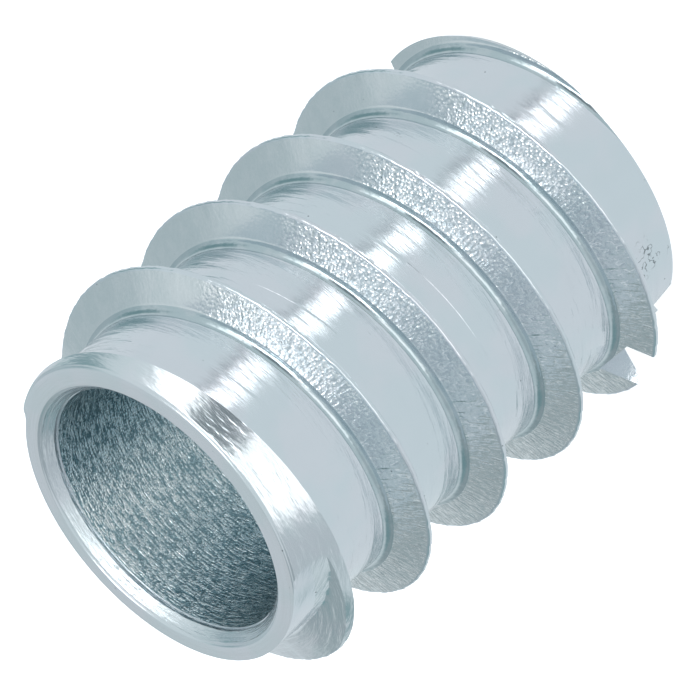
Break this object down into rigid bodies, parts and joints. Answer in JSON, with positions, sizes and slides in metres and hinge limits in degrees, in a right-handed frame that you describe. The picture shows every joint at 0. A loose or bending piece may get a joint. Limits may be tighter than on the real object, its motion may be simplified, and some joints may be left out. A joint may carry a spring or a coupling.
{
  "type": "threaded insert",
  "caption": "Hollow steel insert with a coarse self-cutting outer wood thread, a plain through bore, a chamfered mouth and two cutting flutes.",
  "frame": {"origin": "centre of the leading end face, on which the insert stands", "axes": "+Z along the bore axis from the leading end up to the mouth; +X is where the crest runs out at the mouth; the first cutting flute faces -X and the second is 185 degrees round from it"},
  "size_m": [0.015, 0.015, 0.0202],
  "materials": {
    "zinc_steel": "bright blue-white zinc plating over turned steel"
  },
  "bodies": {
    "root": {"insert_body": "zinc_steel"}
  },
  "joints": []
}
